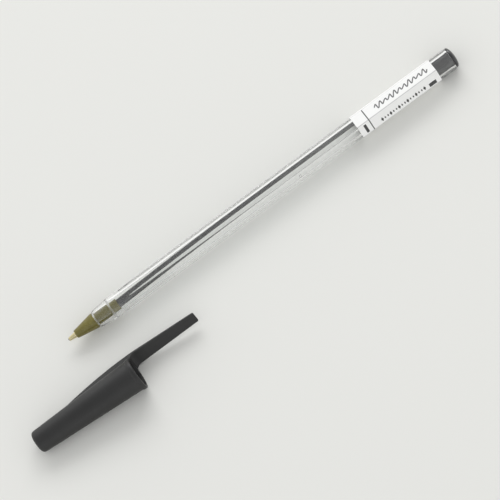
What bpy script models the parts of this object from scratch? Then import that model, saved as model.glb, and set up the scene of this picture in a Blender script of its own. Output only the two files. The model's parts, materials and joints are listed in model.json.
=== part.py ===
"""Capped stick ballpoint pen: clear hexagonal barrel, fixed refill, end plug and a cap lying beside it.

Metres, +Z up. The pen lies along X with its ball at -X and one barrel facet on the plane z = 0.
The origin is on that facet, under the middle of the pen. The cap lies on the same plane, at -Y.
"""
import math

import bmesh
import bpy
from mathutils import Matrix, Vector

MM = 0.001

# Fits shared by the pieces
FIT_GAP = 0.03 * MM             # radial clearance of every pressed or glued seat
SEAT_GAP = 0.05 * MM            # end clearance where one piece butts against another
WELD = 0.0002 * MM              # points closer than this are one point

# Writing ball and brass point
BALL_DIAMETER = 1.0 * MM
BALL_CLEARANCE = 0.02 * MM      # the ball rolls in its socket with this radial clearance
BALL_GRIP = 0.2 * MM            # the crimped lip reaches this far in front of the ball's centre
LIP_WALL = 0.06 * MM
POINT_DIAMETER = 1.8 * MM
POINT_REACH = 2.8 * MM          # from the front of the ball to the front of the nose cone
POINT_COLLAR = 0.2 * MM         # straight part of the point that shows in front of the nose cone
POINT_SHANK = 5.9 * MM          # pressed into the holder
POINT_CHAMFER = 0.15 * MM
INK_DUCT_DIAMETER = 0.7 * MM

# Tip holder: nose cone, shank in the barrel, and a tail with the tube's socket
CONE_LENGTH = 7.4 * MM
CONE_BASE_DIAMETER = 5.15 * MM
CONE_LIP = 0.4 * MM             # wall round the point at the cone's front
CONE_EDGE = 0.12 * MM           # chamfer of the cone's base
CONE_FRONT_EDGE = 0.3 * MM      # chamfer of its lip
SHANK_LENGTH = 5.5 * MM
TAIL_DIAMETER = 3.6 * MM
TAIL_LENGTH = 3.0 * MM
TAIL_CHAMFER = 0.15 * MM
SOCKET_DEPTH = 5.0 * MM         # the tube goes this far into the tail
HOLDER_DUCT_DIAMETER = 0.9 * MM

# Ink tube and ink
TUBE_DIAMETER = 2.2 * MM
TUBE_WALL = 0.33 * MM
TUBE_END_ROOM = 5.25 * MM       # from the tube's rear end to the end plug
TUBE_LEAN = math.radians(35.0)  # the bent tube leans to the far side, this far above level
TUBE_REST = 58.0 * MM           # behind its socket, the tube comes to rest along the bore's wall here
INK_HEADROOM = 8.0 * MM         # empty tube behind the ink
INK_MENISCUS = 0.5 * MM

# Barrel
BARREL_FLATS = 7.0 * MM         # across flats
BARREL_LENGTH = 133.3 * MM
BARREL_EDGE = 0.35 * MM         # rounding of the six long edges
BARREL_RIM = 0.25 * MM          # rounding of both end rims
NOSE_DIAMETER = 5.25 * MM       # round front end
NOSE_LENGTH = 13.5 * MM         # the corners have run out of the round nose by here
NOSE_FULLNESS = 0.62            # under 1 the nose bulges, at 1 it is a straight cone
BORE_DIAMETER = 5.5 * MM
SEAT_BORE_DIAMETER = 4.1 * MM   # narrower front bore that grips the holder's shank
SEAT_BORE_LENGTH = 5.9 * MM
MOUTH_DIAMETER = 6.0 * MM       # countersunk rear mouth of the bore
MOUTH_DEPTH = 1.6 * MM
VENT_DIAMETER = 0.9 * MM
VENT_FROM_REAR = 57.7 * MM

# End plug
PLUG_SPIGOT = 10.5 * MM
PLUG_LEAD_IN = 0.5 * MM
PLUG_WALL = 0.85 * MM
PLUG_CORE_DEPTH = 8.0 * MM
FLANGE_INSET = 0.1 * MM         # the flange stands this far inside the barrel's flats
FLANGE_RIM = 0.5 * MM
FLANGE_EDGE = 0.12 * MM
DOME_RISE = 1.0 * MM

# Sticker
LABEL_LENGTH = 29.4 * MM
LABEL_FROM_REAR = 6.0 * MM
LABEL_THICKNESS = 0.1 * MM
LABEL_END = math.radians(3.0)   # the sticker stops this far short of the bare facet's edges

# Cap
CAP_LENGTH = 37.0 * MM
CAP_END_DIAMETER = 7.2 * MM
CAP_END_ROUND = 1.8 * MM
CAP_END_WALL = 1.5 * MM
CAP_WALL = 0.75 * MM
CAP_CLEARANCE = 0.33 * MM       # mouth of the bore over the barrel's corners
CAP_VENT_DIAMETER = 2.4 * MM
CAP_INNER_CHAMFER = 0.7 * MM
CAP_LIP_RISE = 0.2 * MM
CAP_LIP_LENGTH = 1.6 * MM
CAP_LIP_ROUND = 0.35 * MM

# Clip, one moulding with the cap
CLIP_OVERHANG = 23.3 * MM       # beyond the cap's mouth
CLIP_RISE = 1.8 * MM            # outer face above the cap's mouth
CLIP_THICKNESS = 1.1 * MM
CLIP_TIP_THICKNESS = 0.9 * MM
CLIP_WIDTH = 5.2 * MM
CLIP_TIP_WIDTH = 3.65 * MM
CLIP_ROOT_WIDTH = 4.4 * MM      # where the fairing comes out of the cap's wall
CLIP_EDGE = 0.25 * MM
CLIP_RAMP = 26.8 * MM           # length of the fairing that lifts the clip out of the cap
CLIP_RAMP_EASE = 1.9            # at 1 the fairing is straight, above 1 it levels off at the mouth
CLIP_GUSSET = 1.9 * MM
CLIP_SINK = 0.4                 # share of the cap's radius by which the clip's root is sunk

# How the cap lies beside the pen
CAP_AHEAD = 25.1 * MM           # its closed end lies this far in front of the ball
CAP_ASIDE = 21.55 * MM          # and this far to the side of the pen's axis
CAP_YAW = math.radians(-2.85)

# Facets
TURN_STEPS = 36
SMALL_TURN_STEPS = 24
FLAT_STEPS = 6                  # divisions of each barrel facet
NOSE_STEPS = 9
BEND_STEPS = 10
ROUND_STEPS = 3
RAMP_STEPS = 7
DOME_STEPS = 5
SMOOTH_ANGLE = math.radians(25.0)
SOLID_VIEW_FADE = 0.7           # how far clear plastic fades in the solid view
BLEND = 40.0                    # sharpness of the run-out between hexagon and round nose

# Sizes worked out from those above, measured along the pen from the front of the ball
PEN_LENGTH = POINT_REACH + CONE_LENGTH + BARREL_LENGTH + FLANGE_RIM + DOME_RISE
AXIS_HEIGHT = BARREL_FLATS / 2
BARREL_FRONT = POINT_REACH + CONE_LENGTH
BARREL_REAR = BARREL_FRONT + BARREL_LENGTH
TAIL_END = BARREL_FRONT + SHANK_LENGTH + TAIL_LENGTH
SOCKET_FLOOR = TAIL_END - SOCKET_DEPTH
PLUG_FRONT = BARREL_REAR - PLUG_SPIGOT
TUBE_FRONT = SOCKET_FLOOR + SEAT_GAP
TUBE_REAR = PLUG_FRONT - TUBE_END_ROOM
INK_FRONT = TUBE_FRONT + SEAT_GAP
INK_REAR = TUBE_REAR - INK_HEADROOM
TUBE_BORE = TUBE_DIAMETER - 2 * TUBE_WALL
TUBE_SWING = (BORE_DIAMETER - TUBE_DIAMETER) / 2 - SEAT_GAP
CORNER_RADIUS = BARREL_EDGE + (BARREL_FLATS / 2 - BARREL_EDGE) / math.cos(math.pi / 6)
CAP_BORE_RADIUS = CORNER_RADIUS + CAP_CLEARANCE
CAP_MOUTH_RADIUS = CAP_BORE_RADIUS + CAP_WALL
CAP_LIP_RADIUS = CAP_MOUTH_RADIUS + CAP_LIP_RISE
CAP_LIP_CREST = CAP_LENGTH - CAP_LIP_LENGTH * 2 / 3


def clear_scene():
    for old in list(bpy.data.objects):
        bpy.data.objects.remove(old)


def finish(name, colour, roughness, metallic=0.0, clear=0.0):
    """A Principled material; clear is its share of see-through plastic."""
    material = bpy.data.materials.new(name)
    material.use_nodes = True
    shader = material.node_tree.nodes["Principled BSDF"]
    shader.inputs["Base Color"].default_value = (*colour, 1.0)
    shader.inputs["Roughness"].default_value = roughness
    shader.inputs["Metallic"].default_value = metallic
    shader.inputs["Transmission Weight"].default_value = clear
    material.diffuse_color = (*colour, 1.0 - SOLID_VIEW_FADE * clear)
    return material


def place(name, shape, material, parent):
    """Turn a bmesh into a smooth-shaded object under its parent frame."""
    mesh = bpy.data.meshes.new(name)
    shape.to_mesh(mesh)
    shape.free()
    mesh.shade_smooth()
    mesh.set_sharp_from_angle(angle=SMOOTH_ANGLE)
    mesh.materials.append(material)
    piece = bpy.data.objects.new(name, mesh)
    piece.parent = parent
    bpy.context.collection.objects.link(piece)
    return piece


def frame_empty(name, matrix):
    empty = bpy.data.objects.new(name, None)
    empty.matrix_world = matrix
    bpy.context.collection.objects.link(empty)
    return empty


def combine(piece, operation, tool):
    """Join a hidden tool solid to a piece, or cut the piece with it."""
    tool.hide_render = True
    tool.display_type = "WIRE"
    modifier = piece.modifiers.new(tool.name, "BOOLEAN")
    modifier.operation = operation
    modifier.solver = "EXACT"
    modifier.object = tool


def outward(shape):
    bmesh.ops.recalc_face_normals(shape, faces=shape.faces)
    return shape


def turned(profile, steps, hollow):
    """Turn a profile of (station, radius) points round X; a hollow one is a closed loop off the axis."""
    shape = bmesh.new()
    points = [shape.verts.new((station, 0.0, radius)) for station, radius in profile]
    edges = [shape.edges.new(pair) for pair in zip(points, points[1:])]
    if hollow:
        edges.append(shape.edges.new((points[-1], points[0])))
    bmesh.ops.spin(shape, geom=points + edges, axis=(1, 0, 0), angle=math.tau, steps=steps, use_merge=True)
    bmesh.ops.remove_doubles(shape, verts=shape.verts, dist=WELD)
    return outward(shape)


def loft(sections, hollow):
    """Skin a row of equal sections; a hollow row closes on its first section, another gets end faces."""
    shape = bmesh.new()
    rows = [[shape.verts.new(point) for point in section] for section in sections]
    joins = list(zip(rows, rows[1:]))
    if hollow:
        joins.append((rows[-1], rows[0]))
    else:
        shape.faces.new(rows[0])
        shape.faces.new(rows[-1])
    count = len(rows[0])
    for near, far in joins:
        for index in range(count):
            after = (index + 1) % count
            shape.faces.new((near[index], near[after], far[after], far[index]))
    return outward(shape)


def arc(centre, radius, start, end, steps):
    """Profile points on a circular arc; angles in degrees from +X towards larger radius."""
    turns = [math.radians(start + (end - start) * step / steps) for step in range(steps + 1)]
    return [(centre[0] + radius * math.cos(turn), centre[1] + radius * math.sin(turn)) for turn in turns]


def hex_angles():
    """Section angles from +Y towards +Z: even steps over each facet, and the middle of each rounded edge."""
    flat_half = BARREL_FLATS / 2
    flat_end = math.atan((flat_half - BARREL_EDGE) * math.tan(math.pi / 6) / flat_half)
    angles = []
    for facet in range(6):
        normal = math.radians(30 + 60 * facet)
        for step in range(FLAT_STEPS + 1):
            angles.append(normal - flat_end + 2 * flat_end * step / FLAT_STEPS)
        angles.append(normal + math.pi / 6)
    return angles


def hex_radius(angle, offset):
    """Distance from the axis to the rounded hexagon, moved outwards by offset."""
    flat_half = BARREL_FLATS / 2 + offset
    edge = BARREL_EDGE + offset
    from_normal = abs((angle % (math.pi / 3)) - math.pi / 6)
    if flat_half * math.tan(from_normal) <= (flat_half - edge) * math.tan(math.pi / 6) + WELD:
        return flat_half / math.cos(from_normal)
    to_corner = math.pi / 6 - from_normal
    centre = (flat_half - edge) / math.cos(math.pi / 6)
    return centre * math.cos(to_corner) + math.sqrt(edge ** 2 - (centre * math.sin(to_corner)) ** 2)


def nose_radius(station):
    """Round nose at a distance from the barrel's front face."""
    rise = CORNER_RADIUS - NOSE_DIAMETER / 2
    return NOSE_DIAMETER / 2 + rise * (station / NOSE_LENGTH) ** NOSE_FULLNESS


def polar(station, radius, angle, centre=(0.0, 0.0)):
    return Vector((station, centre[0] + radius * math.cos(angle), centre[1] + radius * math.sin(angle)))


def circle(station, radius, angles, centre=(0.0, 0.0)):
    return [polar(station, radius, angle, centre) for angle in angles]


def even_angles(steps):
    return [math.tau * step / steps for step in range(steps)]


def hex_section(station, inset):
    return [polar(station, hex_radius(angle, -inset), angle) for angle in hex_angles()]


def nose_section(station, inset):
    """Hexagon cut down by the round nose, with the run-out softly blended."""
    section = []
    round_radius = nose_radius(station) - inset
    for angle in hex_angles():
        flat_radius = hex_radius(angle, -inset)
        blended = (flat_radius ** -BLEND + round_radius ** -BLEND) ** (-1 / BLEND)
        section.append(polar(BARREL_FRONT + station, blended, angle))
    return section


def rim_insets(steps):
    """Distances (along, inset) that round an end rim, from the end face inwards."""
    turns = [math.pi / 2 * step / steps for step in range(steps + 1)]
    return [(BARREL_RIM * (1 - math.sin(turn)), BARREL_RIM * (1 - math.cos(turn))) for turn in turns]


def barrel_shape():
    """Outer skin from the front rim to the rear rim, then the stepped bore back to the front."""
    rim = rim_insets(ROUND_STEPS)
    sections = [nose_section(along, inset) for along, inset in reversed(rim)]
    for step in range(1, NOSE_STEPS + 1):
        sections.append(nose_section(BARREL_RIM + (NOSE_LENGTH - BARREL_RIM) * step / NOSE_STEPS, 0.0))
    sections.append(hex_section(BARREL_FRONT + NOSE_LENGTH + BARREL_FLATS / 2, 0.0))
    sections += [hex_section(BARREL_REAR - along, inset) for along, inset in rim]
    angles = hex_angles()
    seat_end = BARREL_FRONT + SEAT_BORE_LENGTH
    sections.append(circle(BARREL_REAR, MOUTH_DIAMETER / 2, angles))
    sections.append(circle(BARREL_REAR - MOUTH_DEPTH, BORE_DIAMETER / 2, angles))
    sections.append(circle(seat_end, BORE_DIAMETER / 2, angles))
    sections.append(circle(seat_end, SEAT_BORE_DIAMETER / 2, angles))
    sections.append(circle(BARREL_FRONT, SEAT_BORE_DIAMETER / 2, angles))
    return loft(sections, hollow=True)


def vent_shape():
    """Cutter for the air hole: a pin through the near upper facet, down into the bore."""
    shape = bmesh.new()
    length = BARREL_FLATS / 2
    bmesh.ops.create_cone(shape, cap_ends=True, segments=SMALL_TURN_STEPS // 2, radius1=VENT_DIAMETER / 2,
                          radius2=VENT_DIAMETER / 2, depth=length)
    tilt = Matrix.Rotation(math.radians(60), 4, "X")
    lift = Matrix.Translation((0.0, 0.0, BARREL_FLATS / 2))
    along = Matrix.Translation((BARREL_REAR - VENT_FROM_REAR, 0.0, 0.0))
    bmesh.ops.transform(shape, matrix=along @ tilt @ lift, verts=shape.verts)
    return shape


def plug_shape():
    """Cored spigot with a lead-in, a conical neck for the countersunk mouth, and a domed flange."""
    spigot = BORE_DIAMETER / 2 - FIT_GAP
    neck = MOUTH_DIAMETER / 2 - FIT_GAP
    flange = BARREL_FLATS / 2 - FLANGE_INSET
    front = PLUG_FRONT
    face = BARREL_REAR + SEAT_GAP
    rim = BARREL_REAR + FLANGE_RIM
    core = spigot - PLUG_WALL
    profile = [(front + PLUG_CORE_DEPTH, 0.0), (front + PLUG_CORE_DEPTH - core / 2, core), (front, core)]
    profile += [(front, spigot - PLUG_LEAD_IN / 2), (front + PLUG_LEAD_IN, spigot)]
    profile += [(BARREL_REAR - MOUTH_DEPTH, spigot), (BARREL_REAR, neck), (face, neck)]
    profile += [(face, flange - FLANGE_EDGE), (face + FLANGE_EDGE, flange)]
    for step in range(DOME_STEPS + 1):
        turn = math.pi / 2 * step / DOME_STEPS
        profile.append((rim + DOME_RISE * math.sin(turn), flange * math.cos(turn)))
    profile[-1] = (rim + DOME_RISE, 0.0)
    return turned(profile, TURN_STEPS, hollow=False)


def label_shape():
    """Sticker round five facets; the facet that the pen lies on stays bare."""
    first = math.radians(-60) + LABEL_END
    last = math.radians(240) - LABEL_END
    turns = sorted(angle - math.tau if angle > last else angle for angle in hex_angles())
    turns = [first] + [turn for turn in turns if first < turn < last] + [last]
    inner = FIT_GAP
    outer = FIT_GAP + LABEL_THICKNESS
    rear = BARREL_REAR - LABEL_FROM_REAR
    sections = []
    for station in (rear - LABEL_LENGTH, rear):
        section = [polar(station, hex_radius(turn, outer), turn) for turn in turns]
        section += [polar(station, hex_radius(turn, inner), turn) for turn in reversed(turns)]
        sections.append(section)
    return loft(sections, hollow=False)


def holder_shape():
    """Nose cone, shank and tail, with the point's pocket, the ink duct and the tube's socket inside."""
    pocket = POINT_DIAMETER / 2 + FIT_GAP
    cone_front = pocket + CONE_LIP
    cone_base = CONE_BASE_DIAMETER / 2
    cone_end = BARREL_FRONT - SEAT_GAP
    shank = SEAT_BORE_DIAMETER / 2 - FIT_GAP
    shank_end = BARREL_FRONT + SHANK_LENGTH
    tail = TAIL_DIAMETER / 2
    socket = TUBE_DIAMETER / 2 + FIT_GAP
    duct = HOLDER_DUCT_DIAMETER / 2
    pocket_end = POINT_REACH + POINT_SHANK + SEAT_GAP
    profile = [(POINT_REACH, pocket), (POINT_REACH, cone_front - CONE_FRONT_EDGE)]
    profile += [(POINT_REACH + CONE_FRONT_EDGE, cone_front), (cone_end - CONE_EDGE, cone_base)]
    profile += [(cone_end, cone_base - CONE_EDGE), (cone_end, shank), (shank_end, shank)]
    profile += [(shank_end, tail), (TAIL_END - TAIL_CHAMFER, tail), (TAIL_END, tail - TAIL_CHAMFER)]
    profile += [(TAIL_END, socket), (SOCKET_FLOOR, socket), (SOCKET_FLOOR, duct)]
    profile += [(pocket_end, duct), (pocket_end, pocket)]
    return turned(profile, TURN_STEPS, hollow=True)


def point_shape():
    """Brass point: crimped lip, cone, collar and shank, with the ball socket and the ink duct inside."""
    ball = BALL_DIAMETER / 2
    socket = ball + BALL_CLEARANCE
    duct = INK_DUCT_DIAMETER / 2
    body = POINT_DIAMETER / 2
    rear = POINT_REACH + POINT_SHANK
    lip_angle = math.degrees(math.acos(-BALL_GRIP / socket))
    duct_angle = math.degrees(math.asin(duct / socket))
    cup = arc((ball, 0.0), socket, duct_angle, lip_angle, 2 * ROUND_STEPS)
    profile = cup + [(ball - BALL_GRIP, cup[-1][1] + LIP_WALL)]
    profile += [(POINT_REACH - POINT_COLLAR, body), (rear - POINT_CHAMFER, body)]
    profile += [(rear, body - POINT_CHAMFER), (rear, duct)]
    return turned(profile, SMALL_TURN_STEPS, hollow=True)


def ball_shape():
    shape = bmesh.new()
    bmesh.ops.create_uvsphere(shape, u_segments=SMALL_TURN_STEPS, v_segments=SMALL_TURN_STEPS // 2,
                              radius=BALL_DIAMETER / 2)
    return shape


def tube_centre(station):
    """Sideways place (y, z) of the tube's centre line: straight in its socket, then out to the bore's wall."""
    share = min(max((station - TAIL_END) / TUBE_REST, 0.0), 1.0)
    swing = TUBE_SWING * (1 - (1 - share) ** 2)
    return swing * math.cos(TUBE_LEAN), swing * math.sin(TUBE_LEAN)


def even_stations(front, rear):
    return [front + (rear - front) * step / BEND_STEPS for step in range(BEND_STEPS + 1)]


def tube_shape():
    angles = even_angles(SMALL_TURN_STEPS)
    stations = [TUBE_FRONT] + even_stations(TAIL_END, TUBE_REAR)
    outside = [circle(station, TUBE_DIAMETER / 2, angles, tube_centre(station)) for station in stations]
    inside = [circle(station, TUBE_BORE / 2, angles, tube_centre(station)) for station in reversed(stations)]
    return loft(outside + inside, hollow=True)


def ink_shape():
    """Ink from the tube's front end to its hollow rear surface."""
    angles = even_angles(SMALL_TURN_STEPS)
    radius = TUBE_BORE / 2 - FIT_GAP
    stations = [INK_FRONT] + even_stations(TAIL_END, INK_REAR)
    sections = [circle(station, radius, angles, tube_centre(station)) for station in stations]
    for step in range(1, ROUND_STEPS + 1):
        share = math.pi / 2 * step / (ROUND_STEPS + 1)
        dip = INK_REAR - INK_MENISCUS * math.sin(share)
        sections.append(circle(dip, radius * math.cos(share), angles, tube_centre(INK_REAR)))
    return loft(sections, hollow=False)


def cap_radius(station):
    """Outside of the cap's tapered wall, measured from its closed end."""
    end = CAP_END_DIAMETER / 2
    return end + (CAP_MOUTH_RADIUS - end) * station / CAP_LENGTH


def cap_outer_shape():
    """Solid outside of the cap: rounded closed end, straight taper and a rounded lip at the mouth."""
    taper = math.degrees(math.atan2(CAP_MOUTH_RADIUS - CAP_END_DIAMETER / 2, CAP_LENGTH))
    corner = (CAP_END_ROUND, cap_radius(CAP_END_ROUND) - CAP_END_ROUND / math.cos(math.radians(taper)))
    lip_start = CAP_LENGTH - CAP_LIP_LENGTH
    lip_round = (CAP_LENGTH - CAP_LIP_ROUND, CAP_LIP_RADIUS - CAP_LIP_ROUND)
    profile = [(0.0, 0.0)] + arc(corner, CAP_END_ROUND, 180.0, 90.0 + taper, 2 * ROUND_STEPS)
    profile += [(lip_start, cap_radius(lip_start)), (CAP_LIP_CREST, CAP_LIP_RADIUS)]
    profile += arc(lip_round, CAP_LIP_ROUND, 90.0, 0.0, ROUND_STEPS)
    profile.append((CAP_LENGTH, 0.0))
    return turned(profile, TURN_STEPS, hollow=False)


def cap_bore_shape():
    """Cutter for the inside of the cap: vent pin, chamfered floor and tapered bore out past the mouth."""
    past = CAP_LIP_LENGTH
    vent = CAP_VENT_DIAMETER / 2
    floor = cap_radius(CAP_END_WALL) - CAP_WALL
    slope = (CAP_BORE_RADIUS - floor) / (CAP_LENGTH - CAP_END_WALL)
    wall_start = CAP_END_WALL + CAP_INNER_CHAMFER
    profile = [(-past, 0.0), (-past, vent), (CAP_END_WALL, vent)]
    profile += [(CAP_END_WALL, floor - CAP_INNER_CHAMFER), (wall_start, floor + slope * CAP_INNER_CHAMFER)]
    profile += [(CAP_LENGTH + past, CAP_BORE_RADIUS + slope * past), (CAP_LENGTH + past, 0.0)]
    return turned(profile, TURN_STEPS, hollow=False)


def clip_section(station, low, high, half_width):
    """Flat strip section with chamfered edges, in the cap's frame with the clip at +Z."""
    edge = CLIP_EDGE
    corners = [(half_width - edge, low), (half_width, low + edge), (half_width, high - edge),
               (half_width - edge, high)]
    corners += [(-across, height) for across, height in reversed(corners)]
    return [Vector((station, across, height)) for across, height in corners]


def clip_outline():
    """Clip stations as (station, low, high, half width), from the fairing's start to the tongue's tip."""
    outer = CAP_MOUTH_RADIUS + CLIP_RISE
    inner = outer - CLIP_THICKNESS
    tip = CAP_LENGTH + CLIP_OVERHANG
    start = CAP_LENGTH - CLIP_RAMP
    start_height = math.sqrt(cap_radius(start) ** 2 - (CLIP_ROOT_WIDTH / 2) ** 2) - CLIP_EDGE
    outline = []
    for step in range(RAMP_STEPS + 1):
        share = step / RAMP_STEPS
        station = start + (CLIP_RAMP - CAP_LIP_ROUND) * share
        high = start_height + (outer - start_height) * (1 - (1 - share) ** CLIP_RAMP_EASE)
        half_width = (CLIP_ROOT_WIDTH + (CLIP_WIDTH - CLIP_ROOT_WIDTH) * share) / 2
        outline.append((station, cap_radius(station) * (1 - CLIP_SINK), high, half_width))
    foot = CAP_BORE_RADIUS + CAP_WALL / 2
    for step in range(ROUND_STEPS + 1):
        turn = math.pi / 2 * step / ROUND_STEPS
        station = CAP_LENGTH + CLIP_GUSSET * (1 - math.cos(turn))
        outline.append((station, foot + (inner - foot) * math.sin(turn), outer, CLIP_WIDTH / 2))
    tip_outer = inner + CLIP_TIP_THICKNESS
    tip_half = CLIP_TIP_WIDTH / 2
    outline.append((tip - 2 * CLIP_EDGE, inner, tip_outer, tip_half))
    outline.append((tip, inner + CLIP_EDGE / 2, tip_outer - CLIP_EDGE / 2, tip_half - CLIP_EDGE))
    return outline


def clip_shape():
    """Clip: fairing out of the cap's wall, gusset at the mouth, and a tapering flat tongue."""
    return loft([clip_section(*stop) for stop in clip_outline()], hollow=False)


def clip_droop(height, pitch):
    """Angle below level at which the clip's lower edge first touches the plane under the cap's axis."""
    angles = []
    for station, _, high, half_width in clip_outline():
        axis_height = (height + station * math.sin(pitch)) / math.cos(pitch)
        for out, across in ((high, half_width - CLIP_EDGE), (high - CLIP_EDGE, half_width)):
            reach = math.hypot(out, across)
            if reach > axis_height:
                angles.append(math.asin(axis_height / reach) - math.atan2(across, out))
    return min(angles)


def cap_matrix():
    """Lay the cap on the plane: on its closed end and its lip, rolled until the clip's edge touches."""
    end = cap_radius(CAP_END_ROUND)
    pitch = math.atan2(CAP_LIP_RADIUS - end, CAP_LIP_CREST - CAP_END_ROUND)
    height = end * math.cos(pitch) - CAP_END_ROUND * math.sin(pitch)
    roll = -(math.pi / 2 + clip_droop(height, pitch))
    turn = Matrix.Rotation(CAP_YAW, 4, "Z") @ Matrix.Rotation(-pitch, 4, "Y") @ Matrix.Rotation(roll, 4, "X")
    return Matrix.Translation((-PEN_LENGTH / 2 - CAP_AHEAD, -CAP_ASIDE, height)) @ turn


def build_pen(pen):
    barrel = place("barrel", barrel_shape(), finish("clear_styrene", (0.9, 0.92, 0.92), 0.06, clear=1.0), pen)
    combine(barrel, "DIFFERENCE", place("vent_cutter", vent_shape(), barrel.data.materials[0], pen))
    place("end_plug", plug_shape(), finish("black_plug", (0.03, 0.03, 0.033), 0.3), pen)
    place("label", label_shape(), finish("white_sticker", (0.88, 0.88, 0.87), 0.45), pen)
    place("tip_holder", holder_shape(), finish("olive_gold_plastic", (0.2, 0.17, 0.035), 0.35), pen)
    place("point", point_shape(), finish("brass", (0.72, 0.6, 0.3), 0.25, metallic=1.0), pen)
    place("ink_tube", tube_shape(), finish("milky_tube", (0.8, 0.8, 0.78), 0.25, clear=0.8), pen)
    place("ink_column", ink_shape(), finish("black_ink", (0.01, 0.01, 0.012), 0.2), pen)
    ball = place("writing_ball", ball_shape(), finish("hard_metal", (0.55, 0.55, 0.56), 0.15, metallic=1.0), pen)
    ball.location = (BALL_DIAMETER / 2, 0.0, 0.0)


def build_cap(rest):
    black = finish("black_cap", (0.05, 0.05, 0.05), 0.42)
    cap = place("cap", cap_outer_shape(), black, rest)
    combine(cap, "UNION", place("clip_tool", clip_shape(), black, rest))
    combine(cap, "DIFFERENCE", place("cap_bore_tool", cap_bore_shape(), black, rest))


def main():
    clear_scene()
    build_pen(frame_empty("pen_frame", Matrix.Translation((-PEN_LENGTH / 2, 0.0, AXIS_HEIGHT))))
    build_cap(frame_empty("cap_frame", cap_matrix()))


main()
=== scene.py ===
"""Looks of a capped stick pen: clear barrel, refill, sticker, end plug and the cap lying beside it.

Metres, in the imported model's frame: the pen lies along X with its ball at -X, and the cap lies at -Y.
"""
import json
from math import acos, asin, atan2, ceil, copysign, cos, pi, radians, sin, sqrt, tan, tau

import bmesh
import bpy
from mathutils import Matrix, Vector


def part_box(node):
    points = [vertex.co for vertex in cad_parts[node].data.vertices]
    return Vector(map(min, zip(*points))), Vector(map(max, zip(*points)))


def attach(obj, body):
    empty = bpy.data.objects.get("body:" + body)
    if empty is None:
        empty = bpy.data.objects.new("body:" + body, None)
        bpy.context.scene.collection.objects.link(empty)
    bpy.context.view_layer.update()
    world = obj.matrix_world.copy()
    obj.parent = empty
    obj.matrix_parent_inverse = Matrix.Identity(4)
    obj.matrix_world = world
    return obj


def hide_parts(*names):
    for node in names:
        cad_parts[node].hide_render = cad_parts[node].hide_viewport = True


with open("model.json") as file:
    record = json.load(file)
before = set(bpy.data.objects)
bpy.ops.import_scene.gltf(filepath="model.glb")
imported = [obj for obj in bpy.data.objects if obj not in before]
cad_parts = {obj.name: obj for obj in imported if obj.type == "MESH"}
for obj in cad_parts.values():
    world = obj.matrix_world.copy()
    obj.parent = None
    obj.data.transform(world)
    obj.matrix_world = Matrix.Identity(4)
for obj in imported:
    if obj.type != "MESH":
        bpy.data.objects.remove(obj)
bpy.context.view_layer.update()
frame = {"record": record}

MM = 0.001
SCENE = bpy.context.scene
WELD = 0.0005 * MM              # points nearer than this become one
CORNER_STEPS = 6                # steps in a rounded corner
CORNER_ROOM = 0.49              # share of a side that a rounded corner may take
HALF_FACET = pi / 6             # half the angle that one of the six facets takes up
FIT_GAP = 0.03 * MM             # round a pressed seat
SEAT_GAP = 0.05 * MM            # at the end of a seat

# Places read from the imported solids
BALL_LOW, BALL_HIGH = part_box("writing_ball")
POINT_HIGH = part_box("point")[1]
HOLDER_LOW, HOLDER_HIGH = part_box("tip_holder")
TUBE_LOW, TUBE_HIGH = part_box("ink_tube")
INK_LOW, INK_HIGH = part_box("ink_column")
BARREL_LOW, BARREL_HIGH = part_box("barrel")
PLUG_LOW, PLUG_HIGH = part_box("end_plug")
LABEL_LOW, LABEL_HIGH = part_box("label")
CLIP_MOUNT = next(mount for mount in frame["record"]["mounts"] if mount["name"] == "clip_inner_face")
AXIS_HEIGHT = (BARREL_LOW.z + BARREL_HIGH.z) / 2

# Barrel
BARREL_FLATS = BARREL_HIGH.z - BARREL_LOW.z
BARREL_EDGE = 0.35 * MM
NOSE_BLEND = 40.0               # sharpness of the run-out between hexagon and round nose
BORE_DIAMETER = 5.5 * MM
SEAT_BORE_DIAMETER = 4.1 * MM
SEAT_BORE_LENGTH = 5.9 * MM
RIM_SATIN = 0.8 * MM            # reach of the satin ring at the front rim
STEP_SATIN = 0.5 * MM           # and of the one at the bore's step
MOUTH_DIAMETER = 6.0 * MM
MOUTH_DEPTH = 1.6 * MM
VENT_LEAN = radians(60)         # the vent is in the near upper facet
VENT_SIDES = 32
FACET_COLUMNS = 18
EDGE_CROWDING = 0.8             # columns crowd towards the facet's rounded edges
FACET_HAIR = 0.0001             # keeps a facet's first column on its own facet
BARREL_SIZES = {
    "Front": BARREL_LOW.x, "Axis Height": AXIS_HEIGHT, "Length": BARREL_HIGH.x - BARREL_LOW.x,
    "Flats": BARREL_FLATS, "Edge": BARREL_EDGE, "Rim": 0.4 * MM,
    "Nose Diameter": 5.25 * MM, "Nose Length": 11.5 * MM, "Nose Fullness": 0.7,
    "Bore Diameter": BORE_DIAMETER, "Mouth Diameter": MOUTH_DIAMETER, "Mouth Depth": MOUTH_DEPTH,
    "Seat Diameter": SEAT_BORE_DIAMETER, "Seat Length": SEAT_BORE_LENGTH,
    "Step Slope": 0.15 * MM,    # length of the cone between the two bores
    "Vent Diameter": 0.9 * MM, "Vent From Rear": 57.7 * MM,
    "Facet Columns": FACET_COLUMNS, "Rows": 150}

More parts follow.
